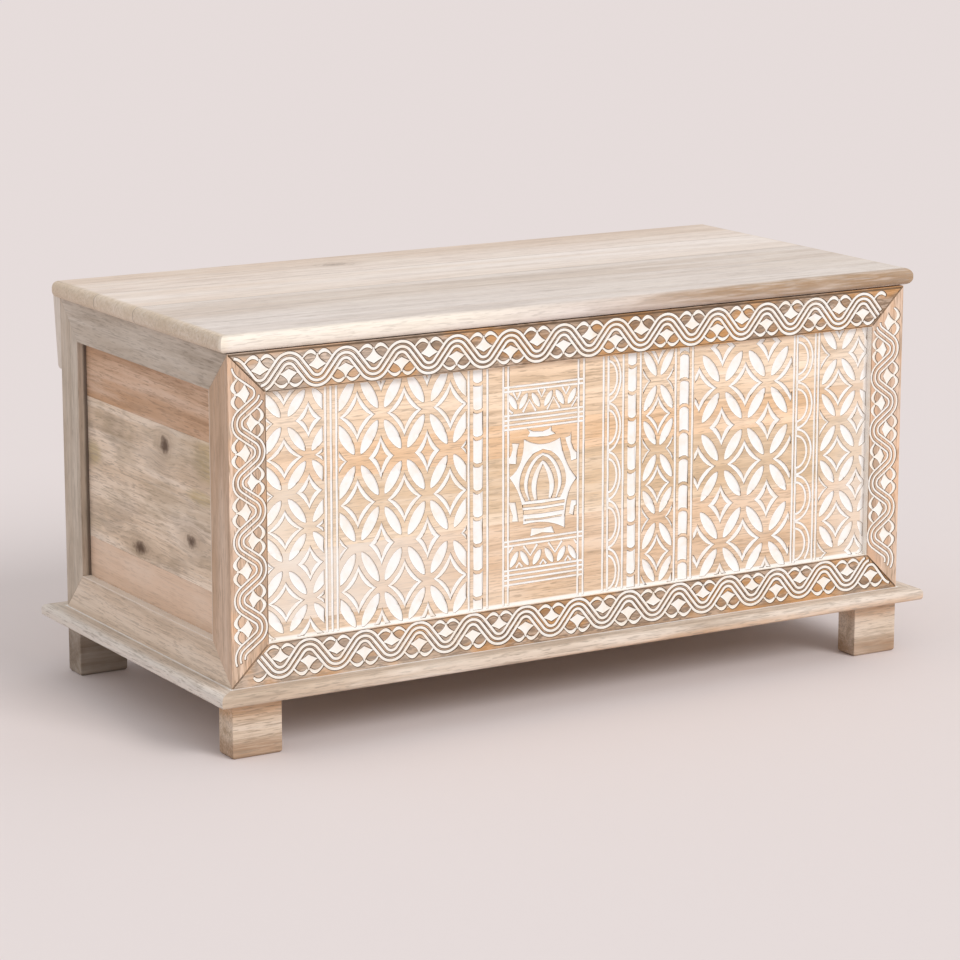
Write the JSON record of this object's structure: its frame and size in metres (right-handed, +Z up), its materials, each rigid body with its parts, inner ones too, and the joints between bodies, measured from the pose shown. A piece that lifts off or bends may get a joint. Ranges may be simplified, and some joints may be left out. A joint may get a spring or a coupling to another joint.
{
  "type": "blanket chest",
  "caption": "Rectangular wooden blanket chest on short block feet, with a carved frame-and-panel front, plain panelled sides and a hinged bullnosed lid.",
  "frame": {"origin": "on the floor under the middle of the chest's box", "axes": "+Z up, the carved front faces -Y, +X to the right of someone facing the front"},
  "size_m": [1, 0.505, 0.496],
  "materials": {
    "carved_panel_wood": "whitewashed mango wood with white paint rubbed into the carving",
    "carved_frame_wood": "whitewashed mango wood, darker, with white paint rubbed into the carving",
    "wall_wood": "whitewashed mango wood, matt",
    "lid_wood": "whitewashed mango wood, matt",
    "base_wood": "whitewashed mango wood, matt",
    "inner_wood": "bare wood, sanded",
    "hinge_brass": "plain brass, slightly tarnished"
  },
  "bodies": {
    "carcass": {"back_bottom_rail": "wall_wood", "back_left_stile": "wall_wood", "back_panel_bottom_board": "wall_wood", "back_panel_middle_board": "wall_wood", "back_panel_top_board": "wall_wood", "back_right_stile": "wall_wood", "back_top_rail": "wall_wood", "base_front_board": "base_wood", "base_left_board": "base_wood", "base_rear_board": "base_wood", "base_right_board": "base_wood", "corner_post_front_left": "inner_wood", "corner_post_front_right": "inner_wood", "corner_post_rear_left": "inner_wood", "corner_post_rear_right": "inner_wood", "floor_panel": "inner_wood", "foot_front_left": "base_wood", "foot_front_right": "base_wood", "foot_rear_left": "base_wood", "foot_rear_right": "base_wood", "front_bottom_rail": "carved_frame_wood", "front_left_stile": "carved_frame_wood", "front_panel_board_1": "carved_panel_wood", "front_panel_board_2": "carved_panel_wood", "front_panel_board_3": "carved_panel_wood", "front_panel_board_4": "carved_panel_wood", "front_panel_board_5": "carved_panel_wood", "front_right_stile": "carved_frame_wood", "front_top_rail": "carved_frame_wood", "hinge_left_lower_leaf": "hinge_brass", "hinge_left_pin": "hinge_brass", "hinge_right_lower_leaf": "hinge_brass", "hinge_right_pin": "hinge_brass", "left_bottom_rail": "wall_wood", "left_front_stile": "wall_wood", "left_panel_bottom_board": "wall_wood", "left_panel_middle_board": "wall_wood", "left_panel_top_board": "wall_wood", "left_rear_stile": "wall_wood", "left_top_rail": "wall_wood", "lid_stop_left": "inner_wood", "lid_stop_right": "inner_wood", "right_bottom_rail": "wall_wood", "right_front_stile": "wall_wood", "right_panel_bottom_board": "wall_wood", "right_panel_middle_board": "wall_wood", "right_panel_top_board": "wall_wood", "right_rear_stile": "wall_wood", "right_top_rail": "wall_wood"},
    "lid": {"lid_front_board": "lid_wood", "lid_middle_board": "lid_wood", "lid_rear_board": "lid_wood", "lid_batten_left": "inner_wood", "lid_batten_right": "inner_wood", "hinge_left_upper_leaf": "hinge_brass", "hinge_right_upper_leaf": "hinge_brass"}
  },
  "joints": [
    {"name": "lid_hinge", "type": "hinge", "parent": "carcass", "child": "lid", "pos_m": [0, 0.2313, 0.4745], "axis": [-1, 0, 0], "range_deg": [0, 100]}
  ]
}
